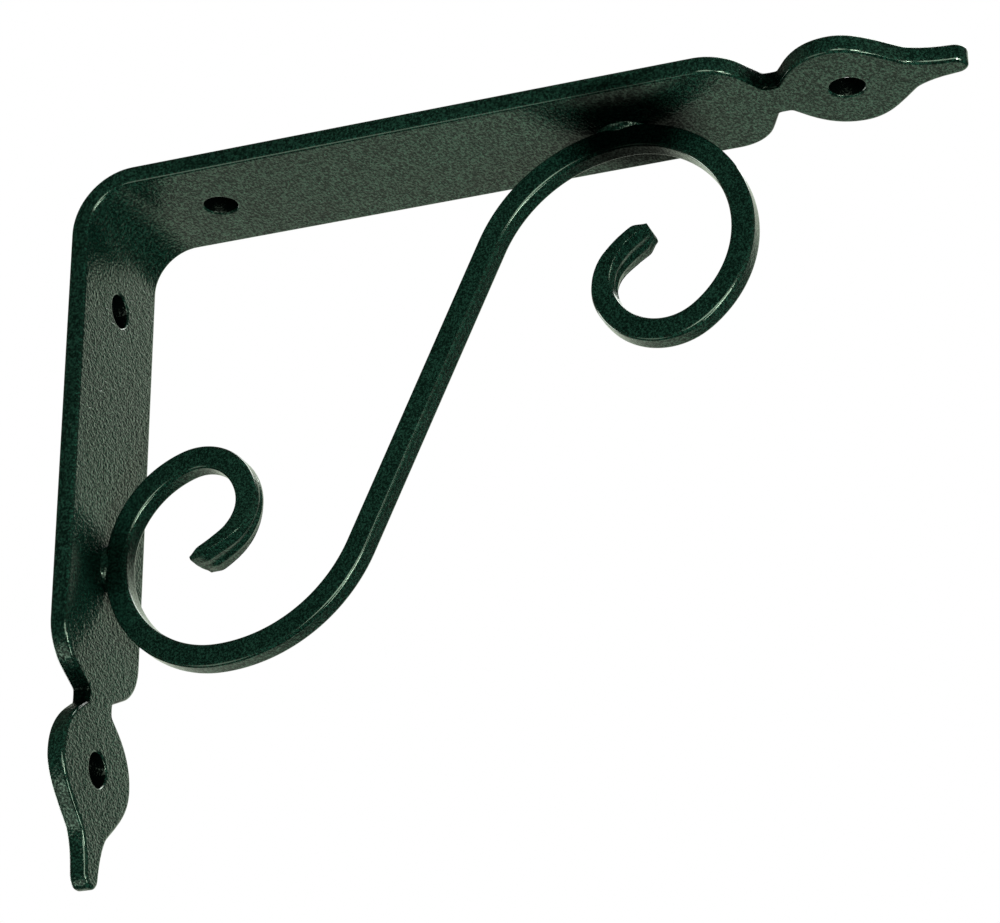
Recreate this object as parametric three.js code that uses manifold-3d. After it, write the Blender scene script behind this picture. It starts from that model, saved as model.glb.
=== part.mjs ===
import * as THREE from 'three';
import { mergeVertices } from 'three/addons/utils/BufferGeometryUtils.js';
import Module from 'manifold-3d';

// Shelf bracket of flat bar bent to an L, with a scroll of thin square bar welded into its corner.
// Millimetres. X runs out from the wall, Z up, Y across the flat bar.
// The origin is on the wall face of the leg, midway between its two screw holes.

// Flat bar of the L, and its bend
const BAR_WIDTH = 25;
const BAR_THICKNESS = 3;
const BAR_EDGE_RADIUS = 0.5;
const BEND_OUTER_RADIUS = 10.5;
const BEND_STEPS = 9;

// Lengths from the bend's outer faces to the notch where the spear begins
const ARM_TO_NOTCH = 115;
const LEG_TO_NOTCH = 86.3;

// Spear cut on both ends of the bar: a neck, a leaf and a blunt stem
const SHOULDER_RADIUS = 7.7;
const FLANK_ANGLE = 63;
const NECK_WIDTH = 8.1;
const NECK_LENGTH = 2;
const SPEAR_LENGTH = 31;
const LEAF_WIDTH = 22.4;
const STEM_WIDTH = 4.2;
const TIP_FLAT_ANGLE = Math.PI / 11;
// How much further out each spear sits at its far side edge than at its centre line
const SPEAR_SKEW = 0.35;
const OUTLINE_STEPS = 6;

// Screw holes
const HOLE_DIAMETER = 5.7;
const ARM_HOLE_FROM_WALL = 20.7;
const LEG_HOLE_FROM_SHELF = 19.3;
const LEAF_HOLE_FROM_NOTCH = 12;
const HOLE_SIDES = 24;

// Square bar of the scroll
const SCROLL_BAR = 3.75;
const SCROLL_EDGE_RADIUS = 0.6;
const WELD_GAP = 0.3;

// Where the scroll meets the arm and the leg
const ARM_WELD_FROM_WALL = 91.1;
const LEG_WELD_FROM_SHELF = 64.8;

// Arcs of the scroll's centre line, in millimetres and degrees, each list running towards its tip
const UPPER_SHOULDER_RADIUS = 24.9;
const UPPER_SIDE_RADIUS = 18.9;
const UPPER_BOTTOM_RADIUS = 17.4;
const UPPER_INNER_RADIUS = 10;
const UPPER_HOOK_RADIUS = 6.5;
const UPPER_TIP_RADIUS = 22.7;
const UPPER_CURL = [
  { radius: UPPER_SIDE_RADIUS, turn: 69.5 },
  { radius: UPPER_BOTTOM_RADIUS, turn: 75.5 },
  { radius: UPPER_INNER_RADIUS, turn: 103 },
  { radius: UPPER_HOOK_RADIUS, turn: 68.5 },
  { radius: UPPER_TIP_RADIUS, turn: 18.5 },
];
const LOWER_SHOULDER_RADIUS = 26.1;
const LOWER_BOTTOM_RADIUS = 17.8;
const LOWER_SIDE_RADIUS = 16.4;
const LOWER_HOOK_RADIUS = 8.3;
const LOWER_TIP_RADIUS = 24.1;
const LOWER_CURL = [
  { radius: LOWER_SIDE_RADIUS, turn: 73 },
  { radius: LOWER_HOOK_RADIUS, turn: 159 },
  { radius: LOWER_TIP_RADIUS, turn: 14.5 },
];
const TURN_PER_STEP = 8.5;

// Both tips of the scroll are beaten flat and wide, and end in a thin edge
const FLAT_LENGTH = 14;
const FLAT_WIDTH = 7.7;
const FLAT_THICKNESS = 1.9;
const TIP_WIDTH = 6.6;
const TIP_THICKNESS = 0.7;
const TIP_LENGTH = 2.4;
const RIDGE_SHARE = 1 / 3;
const RIDGE_BEVEL = 0.2;

const DARK_GREEN = { color: 0x24382a, roughness: 0.5, metalness: 0.1 };

const wasm = await Module();
wasm.setup();

function toSolid(geometry) {
  const bare = geometry.clone();
  bare.deleteAttribute('normal');
  bare.deleteAttribute('uv');
  const merged = mergeVertices(bare, 1e-4);
  return new wasm.Manifold(
    new wasm.Mesh({
      numProp: 3,
      vertProperties: new Float32Array(merged.attributes.position.array),
      triVerts: new Uint32Array(merged.index.array),
    }),
  );
}

function toGeometry(solid) {
  const mesh = solid.getMesh();
  const geometry = new THREE.BufferGeometry();
  geometry.setAttribute('position', new THREE.BufferAttribute(new Float32Array(mesh.vertProperties), 3));
  geometry.setIndex(new THREE.BufferAttribute(new Uint32Array(mesh.triVerts), 1));
  geometry.computeVertexNormals();
  return geometry;
}

// Rectangle with rounded corners, with extra points along the two faces that carry ridges
function barSection(width, thickness, radius, ridges = []) {
  const x = width / 2 - radius;
  const y = thickness / 2 - radius;
  const outline = new THREE.Shape();
  outline.moveTo(x, -y - radius);
  outline.absarc(x, -y, radius, -Math.PI / 2, 0);
  outline.absarc(x, y, radius, 0, Math.PI / 2);
  ridges.forEach((share) => outline.lineTo(-share * (width / 2), y + radius));
  outline.absarc(-x, y, radius, Math.PI / 2, Math.PI);
  outline.absarc(-x, -y, radius, Math.PI, Math.PI * 1.5);
  ridges.forEach((share) => outline.lineTo(share * (width / 2), -y - radius));
  outline.closePath();
  return outline;
}

// Straight bar with one ring of points for each station, every point then moved by place(point, station)
function shapedBar(section, stations, place) {
  const steps = stations.length - 1;
  const bar = new THREE.ExtrudeGeometry(section, { depth: 1, steps, curveSegments: 2, bevelEnabled: false });
  const positions = bar.attributes.position;
  const point = new THREE.Vector3();
  for (let i = 0; i < positions.count; i += 1) {
    point.fromBufferAttribute(positions, i);
    const station = stations[Math.round(point.z * steps)];
    point.copy(place(point, station));
    positions.setXYZ(i, point.x, point.y, point.z);
  }
  return bar;
}

// Half outline of one end of the flat bar: x is the distance past the notch, y the half width.
// A round shoulder runs into a sloping flank, then comes the neck, the leaf, its stem and the blunt tip.
function spearOutline() {
  const neck = NECK_WIDTH / 2;
  const leaf = LEAF_WIDTH / 2;
  const stem = STEM_WIDTH / 2;
  const flank = THREE.MathUtils.degToRad(FLANK_ANGLE);
  const flankTop = BAR_WIDTH / 2 - SHOULDER_RADIUS * (1 - Math.cos(flank));
  const arcEnd = -(flankTop - neck) / Math.tan(flank);
  const arcCentre = arcEnd - SHOULDER_RADIUS * Math.sin(flank);
  const along = (share) => NECK_LENGTH + share * (SPEAR_LENGTH - NECK_LENGTH);
  const swell = (share) => neck + share * (leaf - neck);
  const waist = (share) => stem + share * (leaf - stem);
  const outline = new THREE.Path();
  outline.moveTo(arcCentre, BAR_WIDTH / 2);
  outline.absarc(arcCentre, BAR_WIDTH / 2 - SHOULDER_RADIUS, SHOULDER_RADIUS, Math.PI / 2, Math.PI / 2 - flank, true);
  outline.lineTo(0, neck);
  outline.lineTo(NECK_LENGTH, neck);
  outline.bezierCurveTo(along(0.062), swell(0.385), along(0.159), leaf, along(0.343), leaf);
  outline.bezierCurveTo(along(0.484), leaf, along(0.578), waist(0.607), along(0.689), waist(0.235));
  outline.bezierCurveTo(along(0.73), waist(0.126), along(0.827), waist(0.016), SPEAR_LENGTH - stem, stem);
  outline.absarc(SPEAR_LENGTH - stem, 0, stem, Math.PI / 2, TIP_FLAT_ANGLE, true);
  return outline.getPoints(OUTLINE_STEPS).filter((p, i, all) => i === 0 || p.distanceTo(all[i - 1]) > 0.01);
}

// Stations of the flat bar, from the tip of the leg up round the bend and out to the tip of the arm
function strapStations() {
  const outline = spearOutline();
  const leg = outline.map((p) => ({
    at: new THREE.Vector2(0, -LEG_TO_NOTCH - p.x),
    turn: 0,
    half: p.y,
    skew: new THREE.Vector2(0, -SPEAR_SKEW),
  }));
  const arm = outline.map((p) => ({
    at: new THREE.Vector2(ARM_TO_NOTCH + p.x, 0),
    turn: Math.PI / 2,
    half: p.y,
    skew: new THREE.Vector2(SPEAR_SKEW, 0),
  }));
  const centre = new THREE.Vector2(BEND_OUTER_RADIUS, -BEND_OUTER_RADIUS);
  const bend = [];
  for (let i = 0; i <= BEND_STEPS; i += 1) {
    const turn = (i / BEND_STEPS) * (Math.PI / 2);
    const out = new THREE.Vector2(-Math.cos(turn), Math.sin(turn));
    bend.push({
      at: centre.clone().addScaledVector(out, BEND_OUTER_RADIUS),
      turn,
      half: BAR_WIDTH / 2,
      skew: new THREE.Vector2(),
    });
  }
  return [...leg.reverse(), ...bend, ...arm];
}

function strapSolid() {
  const section = barSection(BAR_WIDTH, BAR_THICKNESS, BAR_EDGE_RADIUS);
  const place = (point, station) => {
    const inset = BAR_WIDTH / 2 - Math.abs(point.x);
    const side = Math.sign(point.x) * Math.max(station.half - inset, 0);
    const depth = point.y + BAR_THICKNESS / 2;
    const onEdge = station.at.clone().addScaledVector(station.skew, -side / (BAR_WIDTH / 2));
    return new THREE.Vector3(
      onEdge.x + depth * Math.cos(station.turn),
      -side,
      onEdge.y - depth * Math.sin(station.turn),
    );
  };
  return toSolid(shapedBar(section, strapStations(), place));
}

// Screw holes as pins: two through the leg along X, two through the arm along Z
function holePins() {
  const length = BAR_THICKNESS * 3;
  const pin = new THREE.CylinderGeometry(HOLE_DIAMETER / 2, HOLE_DIAMETER / 2, length, HOLE_SIDES);
  const legDepths = [LEG_HOLE_FROM_SHELF, LEG_TO_NOTCH + LEAF_HOLE_FROM_NOTCH];
  const armReaches = [ARM_HOLE_FROM_WALL, ARM_TO_NOTCH + LEAF_HOLE_FROM_NOTCH];
  const through = BAR_THICKNESS / 2;
  const legPins = legDepths.map((depth) => pin.clone().rotateZ(Math.PI / 2).translate(through, 0, -depth));
  const armPins = armReaches.map((reach) => pin.clone().rotateX(Math.PI / 2).translate(reach, 0, -through));
  return [...legPins, ...armPins];
}

function strapGeometry() {
  const drilled = holePins().reduce((solid, pin) => solid.subtract(toSolid(pin)), strapSolid());
  return toGeometry(drilled);
}

// Points of an arc that turns clockwise from a place and heading, without the first point
function turnRight(from, radius, degrees) {
  const steps = Math.max(1, Math.ceil(degrees / TURN_PER_STEP));
  const centre = new THREE.Vector2(
    from.at.x + radius * Math.sin(from.heading),
    from.at.y - radius * Math.cos(from.heading),
  );
  const points = [];
  for (let i = 1; i <= steps; i += 1) {
    const heading = from.heading - THREE.MathUtils.degToRad((degrees * i) / steps);
    points.push({
      at: new THREE.Vector2(centre.x - radius * Math.sin(heading), centre.y + radius * Math.cos(heading)),
      heading,
    });
  }
  return points;
}

function curl(from, arcs) {
  const points = [from];
  arcs.forEach(({ radius, turn }) => points.push(...turnRight(points[points.length - 1], radius, turn)));
  return points;
}

// Centre line of the scroll from its lower tip to its upper tip, as places with headings.
// The shoulders are circles set by the two welds, and the straight part is the line that touches both.
function scrollCentreLine() {
  const reach = BAR_THICKNESS + WELD_GAP + SCROLL_BAR / 2;
  const armWeld = new THREE.Vector2(ARM_WELD_FROM_WALL, -reach);
  const legWeld = new THREE.Vector2(reach, -LEG_WELD_FROM_SHELF);
  const upperCentre = new THREE.Vector2(armWeld.x, armWeld.y - UPPER_SHOULDER_RADIUS);
  const bottom = new THREE.Vector2(legWeld.x + LOWER_BOTTOM_RADIUS, legWeld.y - LOWER_BOTTOM_RADIUS);
  const lowerCentre = new THREE.Vector2(bottom.x, bottom.y + LOWER_SHOULDER_RADIUS);
  const between = upperCentre.clone().sub(lowerCentre);
  const radii = UPPER_SHOULDER_RADIUS + LOWER_SHOULDER_RADIUS;
  const straight = Math.sqrt(between.lengthSq() - radii * radii);
  const slope = between.angle() + Math.atan2(radii, straight);
  const slopeDegrees = THREE.MathUtils.radToDeg(slope);

  const leftOf = new THREE.Vector2(-Math.sin(slope), Math.cos(slope));
  const straightTop = { at: upperCentre.clone().addScaledVector(leftOf, UPPER_SHOULDER_RADIUS), heading: slope };
  const straightFoot = {
    at: lowerCentre.clone().addScaledVector(leftOf, -LOWER_SHOULDER_RADIUS),
    heading: slope + Math.PI,
  };
  const upper = curl(straightTop, [{ radius: UPPER_SHOULDER_RADIUS, turn: slopeDegrees }, ...UPPER_CURL]);
  const lower = curl(straightFoot, [
    { radius: LOWER_SHOULDER_RADIUS, turn: slopeDegrees },
    { radius: LOWER_BOTTOM_RADIUS, turn: 90 },
    ...LOWER_CURL,
  ]);
  const upwards = lower.reverse().map(({ at, heading }) => ({ at, heading: heading - Math.PI }));
  return [...upwards, ...upper];
}

// Width and thickness of the bar at a distance from the nearer tip
function flattening(fromTip) {
  const spread = 1 - THREE.MathUtils.smoothstep(fromTip, TIP_LENGTH, FLAT_LENGTH);
  const end = 1 - THREE.MathUtils.smoothstep(fromTip, 0, TIP_LENGTH);
  const width = THREE.MathUtils.lerp(SCROLL_BAR, FLAT_WIDTH, spread);
  const thickness = THREE.MathUtils.lerp(SCROLL_BAR, FLAT_THICKNESS, spread);
  return {
    spread,
    width: THREE.MathUtils.lerp(width, TIP_WIDTH, end),
    thickness: THREE.MathUtils.lerp(thickness, TIP_THICKNESS, end),
  };
}

function scrollStations() {
  const line = scrollCentreLine();
  const travelled = [0];
  line.slice(1).forEach((point, i) => travelled.push(travelled[i] + point.at.distanceTo(line[i].at)));
  const total = travelled[travelled.length - 1];
  return line.map((point, i) => ({
    ...point,
    ...flattening(Math.min(travelled[i], total - travelled[i])),
  }));
}

function scrollGeometry() {
  const section = barSection(SCROLL_BAR, SCROLL_BAR, SCROLL_EDGE_RADIUS, [-RIDGE_SHARE, RIDGE_SHARE]);
  const place = (point, station) => {
    const across = point.x / (SCROLL_BAR / 2);
    const edge = Math.max(Math.abs(across) - RIDGE_SHARE, 0) / (1 - RIDGE_SHARE);
    const bevel = 1 - RIDGE_BEVEL * station.spread * edge;
    const side = (across * station.width) / 2;
    const out = (point.y / SCROLL_BAR) * station.thickness * bevel;
    return new THREE.Vector3(
      station.at.x + out * Math.sin(station.heading),
      -side,
      station.at.y - out * Math.cos(station.heading),
    );
  };
  return toGeometry(toSolid(shapedBar(section, scrollStations(), place)));
}

const wallHolesMiddle = (LEG_HOLE_FROM_SHELF + LEG_TO_NOTCH + LEAF_HOLE_FROM_NOTCH) / 2;

function placed(name, geometry) {
  const mesh = new THREE.Mesh(geometry, new THREE.MeshStandardMaterial(DARK_GREEN));
  mesh.name = name;
  mesh.position.z = wallHolesMiddle;
  return mesh;
}

const group = new THREE.Group();
group.add(placed('flat_bar', strapGeometry()));
group.add(placed('scroll', scrollGeometry()));

export default group;
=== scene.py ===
import math

import bmesh
import bpy
import numpy as np
from mathutils import Matrix, Vector
from mathutils.geometry import delaunay_2d_cdt


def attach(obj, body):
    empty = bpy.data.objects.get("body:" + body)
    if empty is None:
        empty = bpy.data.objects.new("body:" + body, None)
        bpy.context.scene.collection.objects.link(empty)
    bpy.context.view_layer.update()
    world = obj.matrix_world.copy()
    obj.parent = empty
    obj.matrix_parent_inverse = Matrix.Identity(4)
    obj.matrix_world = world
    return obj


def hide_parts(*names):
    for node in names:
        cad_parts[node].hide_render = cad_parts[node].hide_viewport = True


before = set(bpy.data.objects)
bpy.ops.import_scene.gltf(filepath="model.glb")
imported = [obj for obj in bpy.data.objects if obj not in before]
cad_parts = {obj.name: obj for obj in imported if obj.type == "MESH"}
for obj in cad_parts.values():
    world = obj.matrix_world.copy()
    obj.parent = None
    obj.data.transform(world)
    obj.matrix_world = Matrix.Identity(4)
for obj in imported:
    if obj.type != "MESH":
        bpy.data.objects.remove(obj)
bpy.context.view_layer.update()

# Sizes are in millimetres from the outer corner of the L: x out from the wall, z up, y across the bar.

BAR_WIDTH = 25
BAR_THICKNESS = 3
BAR_EDGE_RADIUS = 0.55
BEND_OUTER_RADIUS = 10.5
ARM_TO_NOTCH = 115
LEG_TO_NOTCH = 86.3

SHOULDER_RADIUS = 7.7
FLANK_ANGLE = math.radians(63)
NECK_WIDTH = 8.1
NECK_LENGTH = 2
SPEAR_LENGTH = 31
LEAF_WIDTH = 22.4
STEM_WIDTH = 4.2
TIP_FLAT_ANGLE = math.pi / 11
SPEAR_SKEW = 0.35

HOLE_DIAMETER = 5.7
HOLE_RIM_RADIUS = 0.3
HOLE_BACK_RIM_RADIUS = 0.08
HOLE_TAPER = 0.78
ARM_HOLE_FROM_WALL = 20.7
LEG_HOLE_FROM_SHELF = 19.3
LEAF_HOLE_FROM_NOTCH = 12

SCROLL_BAR = 3.75
SCROLL_EDGE_RADIUS = 0.6
WELD_GAP = 0.3
ARM_WELD_FROM_WALL = 91.1
LEG_WELD_FROM_SHELF = 64.8
UPPER_SHOULDER_RADIUS = 24.9
UPPER_CURL = [(18.9, 69.5), (17.4, 75.5), (10, 103), (6.5, 68.5), (22.7, 18.5)]
LOWER_SHOULDER_RADIUS = 26.1
LOWER_BOTTOM_RADIUS = 17.8
LOWER_CURL = [(16.4, 73), (8.3, 159), (24.1, 14.5)]

FLAT_LENGTH = 14
FLAT_WIDTH = 7.7
FLAT_THICKNESS = 1.9
TIP_WIDTH = 6.6
TIP_THICKNESS = 0.7
TIP_LENGTH = 2.4
TIP_LIP_RADIUS = 0.3
TIP_ROUGHNESS = 0.06
TIP_ROUGH_WITHIN = 1.2
TIP_EDGE_SHARPENING = 0.65
END_WIDTH = {"lower": TIP_WIDTH, "upper": 0.86 * TIP_WIDTH}
CUT_SLANT = {"lower": 0.45, "upper": 0.09}
CUT_SLANTED_WITHIN = 3
GROOVES_FULL_TO = 0.6 * FLAT_LENGTH
GROOVES_END_AT = 1.5 * FLAT_LENGTH

# Relief of the beaten tips: places and spreads in half widths, heights in half thicknesses

RIDGE_PLACE = 0.36
RIDGE_SPREAD = 0.11
RIDGE_HEIGHT = 0.09
VALLEY_SPREAD = 0.24
VALLEY_DEPTH = 0.11
EDGE_STARTS = 1 / 3
EDGE_THINNING = 0.12
GROOVED_EDGE_FALL = 0.12

WELD_LEG = 0.7
WELD_LUMPINESS = 0.06
WELD_BLUNTNESS = 0.75
WELD_CLIMB = 0.8
WELD_SAG = 0.1
WELD_CROWN = 0.6
WELD_POINT_HALF_WIDTH = 0.2
WELD_OVERLAP = 0.15
WELD_SUNK = 0.25
ARM_WELD_LENGTH = 8.4
ARM_WELD_SHIFT = 0.8
LEG_WELD_LENGTH = 8

CORNER_ABOVE_ORIGIN = (LEG_HOLE_FROM_SHELF + LEG_TO_NOTCH + LEAF_HOLE_FROM_NOTCH) / 2


def in_metres(x, y, z):
    return (x / 1000, y / 1000, (z + CORNER_ABOVE_ORIGIN) / 1000)


def smooth_step(value, low, high):
    share = np.clip((value - low) / (high - low), 0, 1)
    return share * share * (3 - 2 * share)


def blend(a, b, share):
    return a + (b - a) * share


def coated_piece(name, points, faces, coat):
    """A closed, smooth-shaded mesh that rides on the bracket's one body and takes its finish from a coat."""
    mesh = bpy.data.meshes.new(name)
    mesh.from_pydata([in_metres(*p) for p in points], [], faces)
    mesh.polygons.foreach_set("use_smooth", [True] * len(mesh.polygons))
    mesh.materials.append(coat)
    mesh.update()
    face_outwards(mesh)
    piece = bpy.data.objects.new(name, mesh)
    bpy.context.scene.collection.objects.link(piece)
    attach(piece, "root")
    return piece


def face_outwards(mesh):
    work = bmesh.new()
    work.from_mesh(mesh)
    bmesh.ops.recalc_face_normals(work, faces=work.faces)
    work.to_mesh(mesh)
    work.free()


def mark_points(piece, name, values):
    """Leaves a named value on each point of a piece, for its coat to read."""
    marks = piece.data.attributes.new(name, "FLOAT", "POINT")
    marks.data.foreach_set("value", values)


def bridged(rows, count, start=0):
    """Faces between rows of points, each of them once round."""
    faces = []
    for row in range(rows - 1):
        for i in range(count):
            a = start + row * count + i
            b = start + row * count + (i + 1) % count
            faces.append((a, b, b + count, a + count))
    return faces


def closed_tube(rows, count):
    """Faces between the rows and one over each end."""
    last = (rows - 1) * count
    first_end = tuple(range(count))
    last_end = tuple(last + i for i in reversed(range(count)))
    return bridged(rows, count) + [first_end, last_end]


# The flat bar, laid out flat as (length, side, depth) and then bent

MIDDLE_OF_BEND = math.pi / 2 * (BEND_OUTER_RADIUS - BAR_THICKNESS / 2)
ARM_START = MIDDLE_OF_BEND - BEND_OUTER_RADIUS
LEG_START = BEND_OUTER_RADIUS


def bend_to_l(length, side, depth):
    """Carries a point of the flat blank to its place on the bent bar."""
    if length < 0:
        return depth, side, length - BEND_OUTER_RADIUS
    if length > MIDDLE_OF_BEND:
        return BEND_OUTER_RADIUS + length - MIDDLE_OF_BEND, side, -depth
    turn = length / MIDDLE_OF_BEND * math.pi / 2
    radius = BEND_OUTER_RADIUS - depth
    return BEND_OUTER_RADIUS - radius * math.cos(turn), side, radius * math.sin(turn) - BEND_OUTER_RADIUS


def arc_points(centre, radius, start, end, count):
    angles = np.linspace(start, end, count)
    return [(centre[0] + radius * math.cos(a), centre[1] + radius * math.sin(a)) for a in angles]


def swept_curve(a, b, c, d, count=24):
    """Points of a cubic curve from a to d, without a itself."""
    points = []
    for t in np.linspace(0, 1, count + 1)[1:]:
        weights = ((1 - t) ** 3, 3 * t * (1 - t) ** 2, 3 * t * t * (1 - t), t**3)
        points.append(tuple(sum(w * p[k] for w, p in zip(weights, (a, b, c, d))) for k in (0, 1)))
    return points


def spear_half():
    """Half of a spear's outline, as (distance past the notch, half width).
    It runs over the shoulder, flank, neck, leaf and stem to the tip."""
    neck = NECK_WIDTH / 2
    leaf = LEAF_WIDTH / 2
    stem = STEM_WIDTH / 2
    flank_top = BAR_WIDTH / 2 - SHOULDER_RADIUS * (1 - math.cos(FLANK_ANGLE))
    arc_end = -(flank_top - neck) / math.tan(FLANK_ANGLE)
    arc_centre = arc_end - SHOULDER_RADIUS * math.sin(FLANK_ANGLE)

    def along(share):
        return NECK_LENGTH + share * (SPEAR_LENGTH - NECK_LENGTH)

    def swell(share):
        return blend(neck, leaf, share)

    def waist(share):
        return blend(stem, leaf, share)

    shoulder_centre = (arc_centre, BAR_WIDTH / 2 - SHOULDER_RADIUS)
    half = arc_points(shoulder_centre, SHOULDER_RADIUS, math.pi / 2, math.pi / 2 - FLANK_ANGLE, 30)
    half += [(0, neck), (NECK_LENGTH, neck)]
    widest = (along(0.343), leaf)
    narrowing = (along(0.689), waist(0.235))
    stem_end = (SPEAR_LENGTH - stem, stem)
    half += swept_curve(half[-1], (along(0.062), swell(0.385)), (along(0.159), leaf), widest)
    half += swept_curve(widest, (along(0.484), leaf), (along(0.578), waist(0.607)), narrowing)
    half += swept_curve(narrowing, (along(0.73), waist(0.126)), (along(0.827), waist(0.016)), stem_end)
    half += arc_points((SPEAR_LENGTH - stem, 0), stem, math.pi / 2, TIP_FLAT_ANGLE, 12)[1:]
    return half


def blank_outline():
    """Closed outline of the flat blank, once round from the tip of the leg along the near side."""
    half = spear_half()
    leg_notch = LEG_START - LEG_TO_NOTCH
    arm_notch = ARM_START + ARM_TO_NOTCH

    def leg_side(sign):
        return [(leg_notch - x - SPEAR_SKEW * sign * h / (BAR_WIDTH / 2), sign * h) for x, h in half]

    def arm_side(sign):
        return [(arm_notch + x + SPEAR_SKEW * sign * h / (BAR_WIDTH / 2), sign * h) for x, h in half]

    return np.array(leg_side(-1)[::-1] + arm_side(-1) + arm_side(1)[::-1] + leg_side(1))


def evenly_spaced(ring, step):
    closed = np.vstack([ring, ring[:1]])
    travelled = np.concatenate([[0], np.cumsum(np.linalg.norm(np.diff(closed, axis=0), axis=1))])
    marks = np.linspace(0, travelled[-1], int(travelled[-1] / step), endpoint=False)
    return np.column_stack([np.interp(marks, travelled, closed[:, k]) for k in (0, 1)])


def filed(ring, step, reach):
    """The ring with its sharp corners eased, as a file and the coat leave them."""
    count = int(4 * reach / step)
    offsets = np.arange(-count, count + 1)
    weights = np.exp(-0.5 * (offsets * step / reach) ** 2)
    weights /= weights.sum()
    return sum(w * np.roll(ring, -k, axis=0) for w, k in zip(weights, offsets))


def thinned(ring, most_turn, longest, bend_longest):
    """The ring without the points that its straight stretches don't need."""
    steps = np.roll(ring, -1, axis=0) - ring
    heading = np.unwrap(np.arctan2(steps[:, 1], steps[:, 0]))
    kept = [0]
    for i in range(1, len(ring)):
        last = kept[-1]
        in_bend = -1 < ring[i][0] < MIDDLE_OF_BEND + 1
        far = np.linalg.norm(ring[i] - ring[last]) > (bend_longest if in_bend else longest)
        if far or abs(heading[i] - heading[last]) > most_turn:
            kept.append(i)
    return ring[kept]


def outward(ring):
    """Unit normals that point away from the ring's inside, for a ring that runs round to the left."""
    step = np.roll(ring, -1, axis=0) - np.roll(ring, 1, axis=0)
    step /= np.linalg.norm(step, axis=1)[:, None]
    return np.column_stack([step[:, 1], -step[:, 0]])


def edge_profile(outer_radius, inner_radius, taper, ledge=0.18, steps=5):
    """(inset, depth, rim) that carry a rounded edge from the outer face over to the inner one.
    rim is 0 on the flat faces and 1 in the middle of a rounding.
    A taper leaves that much more metal at the outer face, as in a hole punched from the inner one."""
    turns = np.linspace(0, math.pi / 2, steps + 1)
    whole = [(outer_radius + ledge, 0, 0)]
    whole += [
        (outer_radius * (1 - math.sin(t)), outer_radius * (1 - math.cos(t)), math.sin(2 * t))
        for t in turns
    ]
    whole += [
        (inner_radius * (1 - math.sin(t)), BAR_THICKNESS - inner_radius * (1 - math.cos(t)), math.sin(2 * t))
        for t in turns[::-1]
    ]
    whole += [(inner_radius + ledge, BAR_THICKNESS, 0)]
    return [(inset - taper * (1 - depth / BAR_THICKNESS), depth, rim) for inset, depth, rim in whole]


def inner_grid(outline, holes):
    """Points between the edges that let the faces bend and take the light evenly."""
    spacing = 3
    clear_of_edge = 1.4
    clear_of_hole_centre = HOLE_DIAMETER / 2 + 1.6
    low, high = outline.min(0), outline.max(0)
    lengths = np.concatenate(
        [
            np.arange(low[0] + 2, -1, spacing),
            np.linspace(-0.6, MIDDLE_OF_BEND + 0.6, 28),
            np.arange(MIDDLE_OF_BEND + spacing, high[0] - 1, spacing),
        ]
    )
    grid = []
    for length in lengths:
        for side in np.arange(-10, 10.1, 2.5):
            spot = np.array([length, side])
            if np.linalg.norm(outline - spot, axis=1).min() < clear_of_edge or not inside(spot, outline):
                continue
            if all(np.linalg.norm(spot - centre) > clear_of_hole_centre for centre in holes):
                grid.append(spot)
    return grid


def inside(spot, ring):
    after = np.roll(ring, -1, axis=0)
    crosses = (ring[:, 1] > spot[1]) != (after[:, 1] > spot[1])
    rise = np.where(crosses, after[:, 1] - ring[:, 1], 1)
    at = ring[:, 0] + (spot[1] - ring[:, 1]) / rise * (after[:, 0] - ring[:, 0])
    return bool(np.count_nonzero(crosses & (at > spot[0])) % 2)


def edge_walls(rings):
    """Points, rim marks and faces of the rounded edges, from (ring, profile, how smooth its rim is).
    borders holds where each edge's first and last rows start, and their count of points."""
    points = []
    rims = []
    faces = []
    borders = []
    for ring, profile, smoothness in rings:
        normals = outward(ring)
        count = len(ring)
        start = len(points)
        for inset, depth, rim in profile:
            points += [(p[0], p[1], depth) for p in ring - normals * inset]
            rims += [rim * smoothness] * count
        faces += bridged(len(profile), count, start)
        borders.append((start, start + (len(profile) - 1) * count, count))
    return points, rims, faces, borders


def flat_faces(points, borders, grid):
    """Both flat faces, in one pattern of triangles worked out on the outer one.
    The grid's points are added to the bar's points, once for each face."""
    flat = []
    outer_ids = []
    inner_ids = []
    edges = []
    for outer_start, inner_start, count in borders:
        base = len(flat)
        flat += [points[outer_start + i][:2] for i in range(count)]
        outer_ids += range(outer_start, outer_start + count)
        inner_ids += range(inner_start, inner_start + count)
        edges += [(base + i, base + (i + 1) % count) for i in range(count)]
    for length, side in grid:
        flat.append((length, side))
        outer_ids.append(len(points))
        points.append((length, side, 0))
        inner_ids.append(len(points))
        points.append((length, side, BAR_THICKNESS))

    pattern = delaunay_2d_cdt([Vector(p) for p in flat], edges, [], 0, 1e-7, True)
    triangles = pattern[2]
    source = [ids[0] for ids in pattern[3]]
    ends = np.cumsum([0] + [count for _, _, count in borders])
    outline, *holes = [np.array(flat[a:b]) for a, b in zip(ends, ends[1:])]
    faces = []
    for triangle in triangles:
        corners = [source[i] for i in triangle]
        middle = np.mean([flat[i] for i in corners], axis=0)
        if inside(middle, outline) and not any(inside(middle, hole) for hole in holes):
            faces.append(tuple(outer_ids[i] for i in corners))
            faces.append(tuple(inner_ids[i] for i in reversed(corners)))
    return faces


def hole_centres():
    lengths = (
        LEG_START - LEG_HOLE_FROM_SHELF,
        LEG_START - LEG_TO_NOTCH - LEAF_HOLE_FROM_NOTCH,
        ARM_START + ARM_HOLE_FROM_WALL,
        ARM_START + ARM_TO_NOTCH + LEAF_HOLE_FROM_NOTCH,
    )
    return [np.array([length, 0]) for length in lengths]


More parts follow.
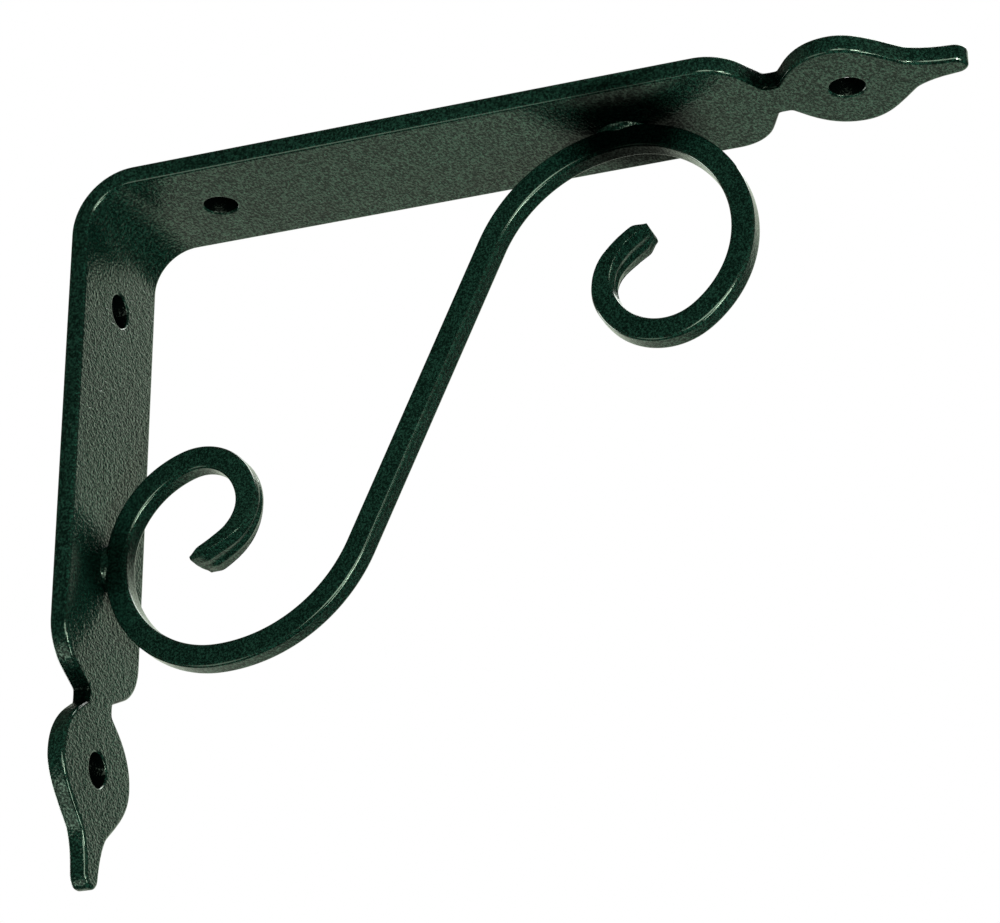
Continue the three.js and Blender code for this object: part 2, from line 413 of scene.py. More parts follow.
def make_flat_bar(coat):
    """The L with its spears, holes and rounded edges."""
    step = 0.25
    eased = filed(evenly_spaced(blank_outline(), step), step, reach=0.32)
    outline = thinned(eased, most_turn=math.radians(4), longest=3, bend_longest=0.6)
    holes = hole_centres()
    round_hole = np.array(arc_points((0, 0), HOLE_DIAMETER / 2, 0, 2 * math.pi, 49)[:-1])[::-1]
    outer_edge = edge_profile(BAR_EDGE_RADIUS, BAR_EDGE_RADIUS, 0)
    hole_edge = edge_profile(HOLE_BACK_RIM_RADIUS, HOLE_RIM_RADIUS, HOLE_TAPER)
    rings = [(outline, outer_edge, 1)]
    rings += [(round_hole + centre, hole_edge, 0.3) for centre in holes]

    points, rims, faces, borders = edge_walls(rings)
    on_outline = range(len(outline) * len(outer_edge))
    in_holes = range(len(on_outline), len(points))
    faces += flat_faces(points, borders, inner_grid(outline, holes))

    piece = coated_piece("flat_bar_coated", [bend_to_l(*p) for p in points], faces, coat)
    mark_points(piece, "rim", rims + [0] * (len(points) - len(rims)))
    # Painted shade in the notches by the necks
    mark_points(piece, "painted_notch_shade", painted_notch_shades(points, on_outline))
    mark_points(piece, "outer_face", [1 if depth < BAR_THICKNESS / 2 else 0 for _, _, depth in points])
    # Painted shade inside the holes
    mark_points(piece, "painted_hole_shade", painted_hole_shades(points, in_holes))
    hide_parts("flat_bar")


def painted_hole_shades(points, in_holes):
    """How deep in a hole's wall each point lies, for the painted shade inside the holes."""
    shade_starts, full_shade = 0.08, 0.3
    wall_shades = np.zeros(len(points))
    for i in in_holes:
        depth = points[i][2]
        below_seen_face = smooth_step(BAR_THICKNESS - depth, shade_starts, full_shade)
        wall_shades[i] = below_seen_face * smooth_step(depth, 0, HOLE_BACK_RIM_RADIUS)
    return wall_shades


def painted_notch_shades(points, on_outline):
    """How deep in the notches by the necks each point of the edge lies, for the painted shade in the notches.
    """
    past_notch = 0.7
    full_shade_within, no_shade_beyond = 1.8, 4.4
    leg_nook = LEG_START - LEG_TO_NOTCH - past_notch
    arm_nook = ARM_START + ARM_TO_NOTCH + past_notch
    notch_shades = np.zeros(len(points))
    for i in on_outline:
        length, _, depth = points[i]
        if 0 < depth < BAR_THICKNESS:
            away = min(abs(length - leg_nook), abs(length - arm_nook))
            notch_shades[i] = 1 - smooth_step(away, full_shade_within, no_shade_beyond)
    return notch_shades


# The scroll


def turned_right(place, heading, radius, degrees, step=0.4):
    """Places and headings along an arc that turns clockwise, without the first."""
    count = max(2, math.ceil(math.radians(degrees) * radius / step))
    centre = place + radius * np.array([math.sin(heading), -math.cos(heading)])
    found = []
    for i in range(1, count + 1):
        now = heading - math.radians(degrees) * i / count
        found.append((centre + radius * np.array([-math.sin(now), math.cos(now)]), now))
    return found


def curled(place, heading, arcs):
    found = [(place, heading)]
    for radius, degrees in arcs:
        found += turned_right(found[-1][0], found[-1][1], radius, degrees)
    return found


def scroll_line():
    """Centre line of the scroll from its lower tip to its upper tip: places and headings."""
    reach = BAR_THICKNESS + WELD_GAP + SCROLL_BAR / 2
    upper_centre = np.array([ARM_WELD_FROM_WALL, -reach - UPPER_SHOULDER_RADIUS])
    bottom = np.array([reach + LOWER_BOTTOM_RADIUS, -LEG_WELD_FROM_SHELF - LOWER_BOTTOM_RADIUS])
    lower_centre = bottom + np.array([0, LOWER_SHOULDER_RADIUS])
    between = upper_centre - lower_centre
    radii = UPPER_SHOULDER_RADIUS + LOWER_SHOULDER_RADIUS
    straight = math.sqrt(between @ between - radii * radii)
    slope = math.atan2(between[1], between[0]) + math.atan2(radii, straight)
    left = np.array([-math.sin(slope), math.cos(slope)])
    top = upper_centre + left * UPPER_SHOULDER_RADIUS
    foot = lower_centre - left * LOWER_SHOULDER_RADIUS
    upper = curled(top, slope, [(UPPER_SHOULDER_RADIUS, math.degrees(slope))] + UPPER_CURL)
    lower_arcs = [(LOWER_SHOULDER_RADIUS, math.degrees(slope)), (LOWER_BOTTOM_RADIUS, 90)] + LOWER_CURL
    lower = [(place, heading - math.pi) for place, heading in curled(foot, slope + math.pi, lower_arcs)[::-1]]
    count = int(straight / 1.5)
    diagonal = [(blend(foot, top, i / count), slope) for i in range(1, count)]
    line = lower + diagonal + upper
    return np.array([p for p, _ in line]), np.array([h for _, h in line])


def scroll_section(radius):
    """Once round the bar: (across, out), each from -1 to 1, on a square section with rounded edges."""
    half = SCROLL_BAR / 2
    flat = half - radius
    turns = np.linspace(0, math.pi / 2, 7)
    side = [(-flat + 2 * flat * k / 14, half) for k in range(1, 14)]
    corner = [(flat + radius * math.sin(t), flat + radius * math.cos(t)) for t in turns]
    points = []
    for cosine, sine in ((1, 0), (0, 1), (-1, 0), (0, -1)):
        points += [((x * cosine + y * sine) / half, (y * cosine - x * sine) / half) for x, y in side + corner]
    return np.array(points)


def scroll_stations(travelled):
    """Distances along the scroll where its section is set, close together near both tips."""
    total = travelled[-1]
    near_tip = 20
    by_tip = [0, 0.03, 0.09, 0.18, 0.3, 0.5] + list(np.arange(0.8, near_tip, 0.4))
    between = [t for t in travelled if near_tip < t < total - near_tip]
    return by_tip + between + [total - t for t in by_tip[::-1]]


def beaten(across, out, spread, grooved, nose):
    """The share of its thickness that a tip has here: less by its edges, and ridged on the wide faces."""
    edge = max(abs(across) - EDGE_STARTS, 0) / (1 - EDGE_STARTS)
    share = 1 - EDGE_THINNING * spread * edge**1.5
    if abs(out) > 0.9:
        ridge = RIDGE_HEIGHT * math.exp(-(((abs(across) - RIDGE_PLACE) / RIDGE_SPREAD) ** 2))
        valley = VALLEY_DEPTH * math.exp(-((across / VALLEY_SPREAD) ** 2))
        share += grooved * (ridge - valley - GROOVED_EDGE_FALL * edge) * (1 - 0.5 * nose)
    return share


def make_scroll(coat):
    """The square bar of the scroll, with both tips beaten flat, ridged and cut a little unevenly."""
    places, headings = scroll_line()
    travelled = np.concatenate([[0], np.cumsum(np.linalg.norm(np.diff(places, axis=0), axis=1))])
    total = travelled[-1]
    stations = scroll_stations(travelled)
    over_width = np.linspace(-1, 1, 9)
    rng = np.random.default_rng(7)
    ragged = {end: rng.normal(0, TIP_ROUGHNESS, len(over_width)) for end in ("lower", "upper")}

    points = []
    for station in stations:
        end, inwards = ("lower", 1) if station < total / 2 else ("upper", -1)
        from_tip = min(station, total - station)
        spread = 1 - smooth_step(from_tip, TIP_LENGTH, FLAT_LENGTH)
        grooved = 1 - smooth_step(from_tip, GROOVES_FULL_TO, GROOVES_END_AT)
        nose = 1 - smooth_step(from_tip, 0, TIP_LENGTH)
        width = blend(blend(SCROLL_BAR, FLAT_WIDTH, spread), END_WIDTH[end], nose)
        thickness = blend(blend(SCROLL_BAR, FLAT_THICKNESS, spread), TIP_THICKNESS, nose)
        into_lip = max(TIP_LIP_RADIUS - from_tip, 0)
        inset = TIP_LIP_RADIUS - math.sqrt(TIP_LIP_RADIUS**2 - into_lip**2)
        edge_radius = SCROLL_EDGE_RADIUS * (1 - TIP_EDGE_SHARPENING * spread)
        for across, out in scroll_section(edge_radius):
            bite = np.interp(across, over_width, ragged[end]) * math.exp(-from_tip / TIP_ROUGH_WITHIN)
            bite += across * CUT_SLANT[end] * math.exp(-from_tip / CUT_SLANTED_WITHIN)
            at = np.clip(station + inwards * bite, 0, total)
            x, z = [np.interp(at, travelled, places[:, k]) for k in (0, 1)]
            heading = np.interp(at, travelled, headings)
            side = across * (width / 2 - inset)
            rise = out * (thickness / 2 - inset) * beaten(across, out, spread, grooved, nose)
            points.append((x - rise * math.sin(heading), side, z + rise * math.cos(heading)))

    section = scroll_section(SCROLL_EDGE_RADIUS)
    piece = coated_piece("scroll_coated", points, closed_tube(len(stations), len(section)), coat)
    off_square = np.minimum(abs(section[:, 0]), abs(section[:, 1]))
    flat_share = 1 - 2 * SCROLL_EDGE_RADIUS / SCROLL_BAR
    rims = smooth_step(off_square, flat_share, 0.5 * (flat_share + 1) + 0.02)
    mark_points(piece, "rim", np.tile(rims, len(stations)))
    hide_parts("scroll")


# The welds


def weld_run(name, coat, length, curve_radius, to_bar, seed):
    """A low bead of weld on both sides of the scroll where it meets the flat bar.
    It is drawn to a point at each end. along is the distance from the contact."""
    rng = np.random.default_rng(seed)
    lump_places = np.linspace(-length / 2, length / 2, 14)
    lumps = rng.normal(0, 1, len(lump_places))
    half = SCROLL_BAR / 2
    stations = np.linspace(-length / 2, length / 2, 57)
    points = []
    for along in stations:
        share = abs(along) / (length / 2)
        fullness = (1 - share**2) ** WELD_BLUNTNESS
        size = WELD_LEG * fullness * (1 + WELD_LUMPINESS * np.interp(along, lump_places, lumps))
        gap = WELD_GAP + along * along / (2 * curve_radius)
        foot = WELD_POINT_HALF_WIDTH + (half - WELD_POINT_HALF_WIDTH + size) * fullness
        top = WELD_POINT_HALF_WIDTH + (half - WELD_POINT_HALF_WIDTH) * fullness
        rise = gap + WELD_OVERLAP + WELD_CLIMB * size
        near_side = []
        for t in np.linspace(0, 1, 9):
            sag = WELD_SAG * size * math.sin(math.pi * t)
            near_side.append((-blend(foot, top, t) + sag, rise * t - sag))
        near_side.append((-WELD_CROWN * top, rise))
        far_side = [(-side, depth) for side, depth in reversed(near_side)]
        whole = near_side + far_side + [(foot, -WELD_SUNK), (-foot, -WELD_SUNK)]
        points += [to_bar(along, side, depth) for side, depth in whole]
    coated_piece(name, points, closed_tube(len(stations), len(whole)), coat)


def make_welds(coat):
    def under_arm(along, side, depth):
        return ARM_WELD_FROM_WALL - ARM_WELD_SHIFT + along, side, -BAR_THICKNESS - depth

    def beside_leg(along, side, depth):
        return BAR_THICKNESS + depth, side, -LEG_WELD_FROM_SHELF + along

    arm_curve = UPPER_SHOULDER_RADIUS + SCROLL_BAR / 2
    leg_curve = LOWER_BOTTOM_RADIUS + SCROLL_BAR / 2
    weld_run("arm_weld", coat, ARM_WELD_LENGTH, arm_curve, under_arm, seed=3)
    weld_run("leg_weld", coat, LEG_WELD_LENGTH, leg_curve, beside_leg, seed=5)


# The coat: a fine-textured, semi-gloss, dark green powder coat

DEEP_GREEN = (0.0022, 0.0125, 0.008, 1)
PALE_GREEN = (0.0034, 0.0165, 0.0105, 1)
# Near-black colour painted on the holes' walls as shade
HOLE_SHADE_COLOUR = (0.0004, 0.001, 0.0008, 1)
DUST = (0.6, 0.62, 0.58, 1)
GREEN_SHEEN = (0.74, 1.0, 0.74, 1)

# Gloss of the plain coat, and the low gloss of the painted shade on a hole's wall

PLAIN_GLOSS = 0.5
HOLE_SHADE_GLOSS = 0.06

# Brightness and gloss of the grain, from its darkest to its palest grit, as shares of the plain coat's

GRAIN_DARKEST = 0.45
GRAIN_PALEST = 3.0
GRAIN_GLOSSIEST = 2.65

# The texture is drawn out across the bar, and turns from the leg's to the arm's over these metres

DRAWN_OUT_ACROSS = (1.0, 0.6, 1.0)
LEG_TEXTURE_TO = 0.004
ARM_TEXTURE_FROM = 0.014

# The hollows between the lumps are duller than the plain coat and their tops are shinier

TOP_OF_LUMPS = 1.4
HOLLOWS_DULLER = 0.06
TOPS_SHINIER = 0.05

# The coat draws smooth over a rounded edge

RIM_IS_SMOOTH_FROM = 0.7
RIM_RELIEF_LEFT = 0.12
RIM_GLOSS = 1.3
RIM_POLISH = 0.06

# Painted shade: round the welds, on the weld beads and in the notches the coat keeps only a share of its
# brightness and gloss

NOTCH_PAINTED_SHADE_LEFT = 0.12
WELD_PAINTED_SHADE_LEFT = 0.45
SHADE_DRAWN_OUT_ACROSS = (1.0, 0.75, 1.0)
PAINTED_SHADE_BY_ARM_WELD = {
    "Weld Middle": in_metres(ARM_WELD_FROM_WALL + 1, 0, -BAR_THICKNESS),
    "Full Shade Within": 0.006,
    "No Shade Beyond": 0.015,
    "Light Left": 0.06,
}
PAINTED_SHADE_BY_LEG_WELD = {
    "Weld Middle": in_metres(BAR_THICKNESS, 0, -LEG_WELD_FROM_SHELF),
    "Full Shade Within": 0.003,
    "No Shade Beyond": 0.009,
    "Light Left": 0.3,
}


class Wiring:
    """Short ways to place nodes and join them in one node tree."""

    def __init__(self, tree):
        self.tree = tree
        self.column = 0

    def node(self, kind, inputs=None, **settings):
        made = self.tree.nodes.new(kind)
        made.location = (self.column, 0)
        self.column += 180
        for key, value in settings.items():
            setattr(made, key, value)
        for key, value in (inputs or {}).items():
            self.feed(value, made.inputs[key])
        return made

    def feed(self, value, socket):
        if isinstance(value, bpy.types.NodeSocket):
            self.tree.links.new(value, socket)
        else:
            socket.default_value = value

    def effect(self, group, inputs):
        return self.node("ShaderNodeGroup", inputs, node_tree=group)

    def mark(self, name):
        return self.node("ShaderNodeAttribute", attribute_name=name).outputs["Fac"]

    def maths(self, operation, a, b=0.0):
        return self.node("ShaderNodeMath", {0: a, 1: b}, operation=operation).outputs[0]

    def vector(self, operation, a, b):
        return self.node("ShaderNodeVectorMath", {0: a, 1: b}, operation=operation).outputs["Vector"]

    def between(self, value, low, high, to_low=0.0, to_high=1.0, smooth=True):
        kind = "SMOOTHSTEP" if smooth else "LINEAR"
        made = self.node(
            "ShaderNodeMapRange",
            {"Value": value, "From Min": low, "From Max": high, "To Min": to_low, "To Max": to_high},
            interpolation_type=kind,
        )
        return made.outputs["Result"]

    def mixed(self, share, a, b):
        made = self.node("ShaderNodeMix", data_type="RGBA")
        self.feed(share, made.inputs[0])
        self.feed(a, made.inputs[6])
        self.feed(b, made.inputs[7])
        return made.outputs[2]


def new_group(name, inputs, outputs):
    group = bpy.data.node_groups.new(name, "ShaderNodeTree")
    for label, kind, value in inputs:
        socket = group.interface.new_socket(label, in_out="INPUT", socket_type=kind)
        if value is not None:
            socket.default_value = value
    for label, kind in outputs:
        group.interface.new_socket(label, in_out="OUTPUT", socket_type=kind)
    wiring = Wiring(group)
    start = wiring.node("NodeGroupInput")
    return group, wiring, start


def powder_texture_group():
    """The small rounded lumps of a textured powder coat, from broad orange peel down to fine grit."""
    group, w, start = new_group(
        "powder_texture",
        [
            ("Place", "NodeSocketVector", None),
            ("Lumps Per Metre", "NodeSocketFloat", 900.0),
            ("Grit Per Metre", "NodeSocketFloat", 2600.0),
            ("Lump Share", "NodeSocketFloat", 1.0),
            ("Grit Share", "NodeSocketFloat", 0.4),
        ],
        [("Height", "NodeSocketFloat"), ("Grain", "NodeSocketFloat")],
    )
    place = start.outputs["Place"]
    lumps = w.node(
        "ShaderNodeTexNoise",
        {
            "Vector": place,
            "Scale": start.outputs["Lumps Per Metre"],
            "Detail": 1.0,
            "Roughness": 0.45,
            "Distortion": 0.35,
        },
    ).outputs["Fac"]
    grit = w.node(
        "ShaderNodeTexNoise",
        {"Vector": place, "Scale": start.outputs["Grit Per Metre"], "Detail": 1.5, "Roughness": 0.55},
    ).outputs["Fac"]
    rounded = w.between(lumps, 0.34, 0.68)
    sharp = w.between(grit, 0.33, 0.69)
    grain = w.between(grit, 0.36, 0.79)
    coarse = w.maths("MULTIPLY", rounded, start.outputs["Lump Share"])
    fine = w.maths("MULTIPLY", sharp, start.outputs["Grit Share"])
    w.node("NodeGroupOutput", {"Height": w.maths("ADD", coarse, fine), "Grain": grain})
    return group


def dust_speck_group():
    """A few pale specks of dust caught in the coat."""
    group, w, start = new_group(
        "dust_specks",
        [
            ("Place", "NodeSocketVector", None),
            ("Cells Per Metre", "NodeSocketFloat", 200.0),
            ("Speck Size", "NodeSocketFloat", 0.036),
            ("Rarity", "NodeSocketFloat", 0.88),
        ],
        [("Specks", "NodeSocketFloat")],
    )
    cells = w.node(
        "ShaderNodeTexVoronoi",
        {"Vector": start.outputs["Place"], "Scale": start.outputs["Cells Per Metre"]},
    )
    near = w.maths("LESS_THAN", cells.outputs["Distance"], start.outputs["Speck Size"])
    picked = w.node("ShaderNodeSeparateColor", {"Color": cells.outputs["Color"]}).outputs[0]
    chosen = w.maths("GREATER_THAN", picked, start.outputs["Rarity"])
    w.node("NodeGroupOutput", {"Specks": w.maths("MULTIPLY", near, chosen)})
    return group


def cloudy_colour_group():
    """Slow, faint drifts between two shades of the coat."""
    group, w, start = new_group(
        "cloudy_colour",
        [
            ("Place", "NodeSocketVector", None),
            ("Clouds Per Metre", "NodeSocketFloat", 60.0),
            ("Deep Shade", "NodeSocketColor", DEEP_GREEN),
            ("Pale Shade", "NodeSocketColor", PALE_GREEN),
        ],
        [("Colour", "NodeSocketColor")],
    )
    scale = start.outputs["Clouds Per Metre"]
    clouds = w.node(
        "ShaderNodeTexNoise",
        {"Vector": start.outputs["Place"], "Scale": scale, "Detail": 3.0, "Roughness": 0.6},
    ).outputs["Fac"]
    share = w.between(clouds, 0.35, 0.68)
    colour = w.mixed(share, start.outputs["Deep Shade"], start.outputs["Pale Shade"])
    w.node("NodeGroupOutput", {"Colour": colour})
    return group


def hole_shade_group():
    """Painted shade inside the screw holes: a near-black colour and little gloss on their walls."""
    group, w, start = new_group(
        "hole_shade",
        [
            ("Painted Hole Shade", "NodeSocketFloat", 0.0),
            ("Coat Colour", "NodeSocketColor", DEEP_GREEN),
            ("Shade Colour", "NodeSocketColor", HOLE_SHADE_COLOUR),
        ],
        [("Colour", "NodeSocketColor"), ("Gloss Left", "NodeSocketFloat")],
    )
    colour = w.mixed(start.outputs["Painted Hole Shade"], start.outputs["Coat Colour"], start.outputs["Shade Colour"])
    left = w.between(start.outputs["Painted Hole Shade"], 0, 1, PLAIN_GLOSS, HOLE_SHADE_GLOSS, smooth=False)
    w.node("NodeGroupOutput", {"Colour": colour, "Gloss Left": left})
    return group


def weld_shade_group():
    """Painted shade and dark reflection round a weld: the coat keeps less of its brightness and gloss near
    it, though not on the outer faces.
    """
    group, w, start = new_group(
        "weld_shade",
        [
            ("Place", "NodeSocketVector", None),
            ("Weld Middle", "NodeSocketVector", (0.0, 0.0, 0.0)),
            ("Full Shade Within", "NodeSocketFloat", 0.003),
            ("No Shade Beyond", "NodeSocketFloat", 0.012),
            ("Light Left", "NodeSocketFloat", 0.2),
            ("Outer Face", "NodeSocketFloat", 0.0),
        ],
        [("Left", "NodeSocketFloat")],
    )
    away = w.vector("SUBTRACT", start.outputs["Place"], start.outputs["Weld Middle"])
    drawn_out = w.vector("MULTIPLY", away, SHADE_DRAWN_OUT_ACROSS)
    distance = w.node("ShaderNodeVectorMath", {0: drawn_out}, operation="LENGTH").outputs["Value"]
    full, none = start.outputs["Full Shade Within"], start.outputs["No Shade Beyond"]
    left = w.between(distance, full, none, start.outputs["Light Left"], 1.0)
    w.node("NodeGroupOutput", {"Left": w.maths("MAXIMUM", left, start.outputs["Outer Face"])})
    return group


def light_left_in_painted_shade(w, groups, place):
    """The share of its brightness that the coat keeps under the painted shade round the welds and in the
    notches.
    """
    by_weld = [
        w.effect(groups["weld_shade"], {"Place": place, "Outer Face": w.mark("outer_face"), **painted_shade})
        for painted_shade in (PAINTED_SHADE_BY_ARM_WELD, PAINTED_SHADE_BY_LEG_WELD)
    ]
    in_notch = w.between(w.mark("painted_notch_shade"), 0.0, 1.0, 1.0, NOTCH_PAINTED_SHADE_LEFT, smooth=False)
    by_welds = w.maths("MULTIPLY", by_weld[0].outputs["Left"], by_weld[1].outputs["Left"])
    return w.maths("MULTIPLY", by_welds, in_notch)


def powder_coat(name, groups, lumps, grit, lump_shares, grit_share, relief, roughness, on_weld=False):
    """One coat material: green under a thin gloss, broken up by the texture of the powder.
    The lumps have their first share on the leg and their second along the arm."""
    coat = bpy.data.materials.new(name)
    coat.use_nodes = True
    coat.node_tree.nodes.clear()
    w = Wiring(coat.node_tree)
    place = w.node("ShaderNodeTexCoord").outputs["Object"]
    from_wall = w.node("ShaderNodeSeparateXYZ", {0: place}).outputs["X"]
    rim = w.mark("rim")
    rim_share = w.between(rim, 0.0, RIM_IS_SMOOTH_FROM, 0.0, 1.0, smooth=False)

    powder = w.effect(
        groups["texture"],
        {
            "Place": w.vector("MULTIPLY", place, DRAWN_OUT_ACROSS),
            "Lumps Per Metre": lumps,
            "Grit Per Metre": grit,
            "Lump Share": w.between(from_wall, LEG_TEXTURE_TO, ARM_TEXTURE_FROM, *lump_shares),
            "Grit Share": grit_share,
        },
    )
    height = powder.outputs["Height"]
    relief_left = w.between(rim, 0.0, RIM_IS_SMOOTH_FROM, 1.0, RIM_RELIEF_LEFT, smooth=False)
    bump = w.node("ShaderNodeBump", {"Height": height, "Strength": relief_left, "Distance": relief})
    in_hollows, on_tops = roughness + HOLLOWS_DULLER, roughness - TOPS_SHINIER
    by_height = w.between(height, 0.0, TOP_OF_LUMPS, in_hollows, on_tops, smooth=False)
    dullness = w.maths("SUBTRACT", by_height, w.maths("MULTIPLY", rim, RIM_POLISH))

    cloudy = w.effect(groups["cloudy"], {"Place": place}).outputs["Colour"]
    specks = w.effect(groups["dust"], {"Place": place}).outputs["Specks"]
    # Painted shade: the weld beads are darker and duller all over, and elsewhere the coat is darker and
    # duller round the welds and in the notches
    light_left = WELD_PAINTED_SHADE_LEFT if on_weld else light_left_in_painted_shade(w, groups, place)
    grain = powder.outputs["Grain"]
    brightness = w.between(grain, 0, 1, GRAIN_DARKEST, GRAIN_PALEST, smooth=False)
    grainy = w.node("ShaderNodeVectorMath", {0: w.mixed(specks, cloudy, DUST)}, operation="SCALE")
    w.feed(w.maths("MULTIPLY", brightness, light_left), grainy.inputs["Scale"])
    holes = w.effect(
        groups["holes"], {"Painted Hole Shade": w.mark("painted_hole_shade"), "Coat Colour": grainy.outputs["Vector"]}
    )

    gloss_left = holes.outputs["Gloss Left"]
    sparkle = w.between(grain, 0, 1, GRAIN_DARKEST, GRAIN_GLOSSIEST, smooth=False)
    grainy_gloss = w.maths("MULTIPLY", w.maths("MULTIPLY", gloss_left, sparkle), light_left)
    rim_gloss = w.maths("MULTIPLY", w.maths("MULTIPLY", gloss_left, RIM_GLOSS), light_left)
    off_rim = w.maths("MULTIPLY", w.maths("SUBTRACT", 1.0, rim_share), grainy_gloss)
    gloss = w.maths("ADD", off_rim, w.maths("MULTIPLY", rim_share, rim_gloss))
    shader = w.node(
        "ShaderNodeBsdfPrincipled",
        {
            "Base Color": holes.outputs["Colour"],
            "Roughness": dullness,
            "Metallic": 0.0,
            "IOR": 1.5,
            "Specular IOR Level": gloss,
            "Specular Tint": GREEN_SHEEN,
            "Normal": bump.outputs["Normal"],
        },
    )
    w.node("ShaderNodeOutputMaterial", {"Surface": shader.outputs[0]})
    return coat


def make_coats():
    groups = {
        "texture": powder_texture_group(),
        "cloudy": cloudy_colour_group(),
        "dust": dust_speck_group(),
        "holes": hole_shade_group(),
        "weld_shade": weld_shade_group(),
    }
    flat_bar = powder_coat(
        "flat_bar_coat",
        groups,
        lumps=1500,
        grit=3000,
        lump_shares=(0.8, 0.3),
        grit_share=0.5,
        relief=0.00004,
        roughness=0.18,
    )
    scroll = powder_coat(
        "scroll_coat",
        groups,
        lumps=1700,
        grit=3300,
        lump_shares=(0.5, 0.5),
        grit_share=0.4,
        relief=0.000022,
        roughness=0.18,
    )
    weld = powder_coat(
        "weld_coat",
        groups,
        lumps=1700,
        grit=3400,
        lump_shares=(1, 1),
        grit_share=0.7,
        relief=0.00001,
        roughness=0.16,
        on_weld=True,
    )
    return flat_bar, scroll, weld


# The studio

# Soft boxes are (name, place, width, height, power), in metres and watts

BACKDROP_MIDDLE = (-0.55, 0.8, 0.25)
BRACKET_MIDDLE = (0.07, 0, 0)
ROOM_TINT = (0.9, 1, 0.83, 1)
SOFT_BOXES = (
    ("key_box", (0.76, -0.52, -0.36), 0.14, 0.3, 5),
    ("side_box", (0.74, -0.2, -0.62), 0.11, 0.3, 2),
    ("front_box", (0.37, -0.93, -0.22), 0.5, 0.5, 4.8),
    ("low_box", (-0.33, -0.36, -0.74), 0.5, 0.5, 1.4),
    ("top_box", (0.35, 0.5, 0.9), 0.6, 0.6, 8),
    ("back_box", (-1.0, 0.38, -0.1), 0.5, 0.5, 6),
)


def make_camera():
    """The photograph's view: from in front, a little to the right and well below."""
    around, below, roll = math.radians(20.419), math.radians(-23.595), math.radians(-0.317)
    back = Vector(
        (math.sin(around) * math.cos(below), -math.cos(around) * math.cos(below), math.sin(below))
    )
    right = Vector((math.cos(around), math.sin(around), 0))
    up = back.cross(right)
    level_right = right * math.cos(roll) + up * math.sin(roll)
    level_up = up * math.cos(roll) - right * math.sin(roll)
    middle_of_view = Vector(in_metres(69.58, 0, -56.8))
    distance = 0.47318
    eye = middle_of_view + back * distance
    data = bpy.data.cameras.new("camera")
    data.sensor_width = 36
    data.lens = 111.35
    data.clip_start = 0.01
    data.clip_end = 50
    camera = bpy.data.objects.new("camera", data)
    turned = Matrix((level_right, level_up, back)).transposed().to_4x4()
    camera.matrix_world = Matrix.Translation(eye) @ turned
    bpy.context.scene.collection.objects.link(camera)
    bpy.context.scene.camera = camera


def make_floor():
    """A wide pale floor, far enough down to be under every view."""
    depth = -0.8
    size = 8
    mesh = bpy.data.meshes.new("floor")
    corners = [(-size, -size, depth), (size, -size, depth), (size, size, depth), (-size, size, depth)]
    mesh.from_pydata(corners, [], [(0, 1, 2, 3)])
    floor = bpy.data.objects.new("floor", mesh)
    paper = bpy.data.materials.new("floor_paper")
    paper.use_nodes = True
    w = Wiring(paper.node_tree)
    paper.node_tree.nodes.clear()
    place = w.node("ShaderNodeTexCoord").outputs["Object"]
    mottle = w.node("ShaderNodeTexNoise", {"Vector": place, "Scale": 3.0, "Detail": 2.0}).outputs["Fac"]
    colour = w.mixed(mottle, (0.8, 0.8, 0.79, 1), (0.84, 0.84, 0.83, 1))
    paper_face = w.node("ShaderNodeBsdfPrincipled", {"Base Color": colour, "Roughness": 0.9})
    evenly_lit = w.node("ShaderNodeEmission", {"Color": colour, "Strength": 0.95})
    is_camera = w.node("ShaderNodeLightPath").outputs["Is Camera Ray"]
    shader = w.node("ShaderNodeMixShader", {0: is_camera, 1: paper_face.outputs[0], 2: evenly_lit.outputs[0]})
    w.node("ShaderNodeOutputMaterial", {"Surface": shader.outputs[0]})
    mesh.materials.append(paper)
    bpy.context.scene.collection.objects.link(floor)
    floor.visible_glossy = False


def soft_light(name, place, width, height, power):
    """A soft box that is aimed at the middle of the bracket and isn't seen itself."""
    data = bpy.data.lights.new(name, "AREA")
    data.shape = "RECTANGLE"
    data.size = width
    data.size_y = height
    data.energy = power
    lamp = bpy.data.objects.new(name, data)
    lamp.location = place
    lamp.visible_camera = False
    lamp.rotation_mode = "QUATERNION"
    lamp.rotation_quaternion = (Vector(BRACKET_MIDDLE) - Vector(place)).to_track_quat("-Z", "Y")
    bpy.context.scene.collection.objects.link(lamp)


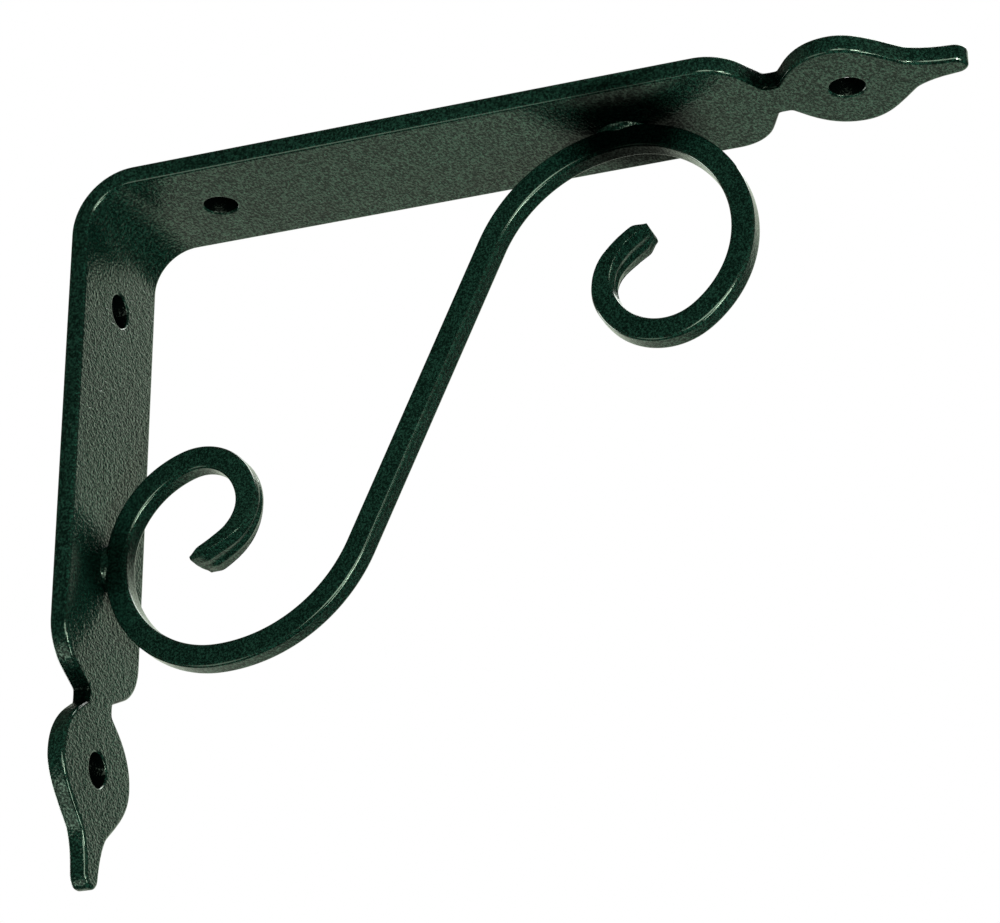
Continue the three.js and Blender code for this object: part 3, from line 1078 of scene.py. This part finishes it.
def make_studio():
    """A pale backdrop behind and to the left, a dim room in front, and soft boxes that draw the edges."""
    world = bpy.data.worlds.new("studio")
    bpy.context.scene.world = world
    world.use_nodes = True
    world.node_tree.nodes.clear()
    w = Wiring(world.node_tree)
    looking = w.node("ShaderNodeTexCoord").outputs["Generated"]
    parts = w.node("ShaderNodeSeparateXYZ", {0: looking}).outputs
    towards = w.node(
        "ShaderNodeVectorMath", {0: looking, 1: BACKDROP_MIDDLE}, operation="DOT_PRODUCT"
    ).outputs["Value"]
    rim_of_backdrop = w.between(towards, 0.455, 0.575, 0, 0.84, smooth=False)
    heart_of_backdrop = w.between(towards, 0.61, 0.95, 0, 0.1, smooth=False)
    backdrop = w.maths("ADD", rim_of_backdrop, heart_of_backdrop)
    behind = w.between(parts["Y"], 0.5, 0.82)
    paler_above = w.between(parts["Z"], -0.3, 0.3, 0.62, 1.18)
    lit_backdrop = w.maths("MULTIPLY", backdrop, w.maths("MULTIPLY", behind, paler_above))
    room_in_front = w.between(parts["Y"], -0.3, 0.4, 0.05, 0.012)
    to_sides = w.between(w.maths("ABSOLUTE", parts["X"]), 0.6, 0.95, 0, 0.12)
    overhead = w.between(parts["Z"], 0.6, 0.95, 0, 0.08)
    room = w.maths("ADD", room_in_front, w.maths("ADD", to_sides, overhead))
    strength = w.maths("ADD", lit_backdrop, room)
    seen = w.node("ShaderNodeBackground", {"Color": (1, 1, 1, 1), "Strength": 1.0})
    lit = w.node("ShaderNodeBackground", {"Color": ROOM_TINT, "Strength": strength})
    is_camera = w.node("ShaderNodeLightPath").outputs["Is Camera Ray"]
    mix = w.node("ShaderNodeMixShader", {0: is_camera, 1: lit.outputs[0], 2: seen.outputs[0]})
    w.node("ShaderNodeOutputWorld", {"Surface": mix.outputs[0]})
    for box in SOFT_BOXES:
        soft_light(*box)
    view = bpy.context.scene.view_settings
    view.view_transform = "Standard"
    view.look = "None"


flat_bar_coat, scroll_coat, weld_coat = make_coats()
make_flat_bar(flat_bar_coat)
make_scroll(scroll_coat)
make_welds(weld_coat)
make_camera()
make_floor()
make_studio()
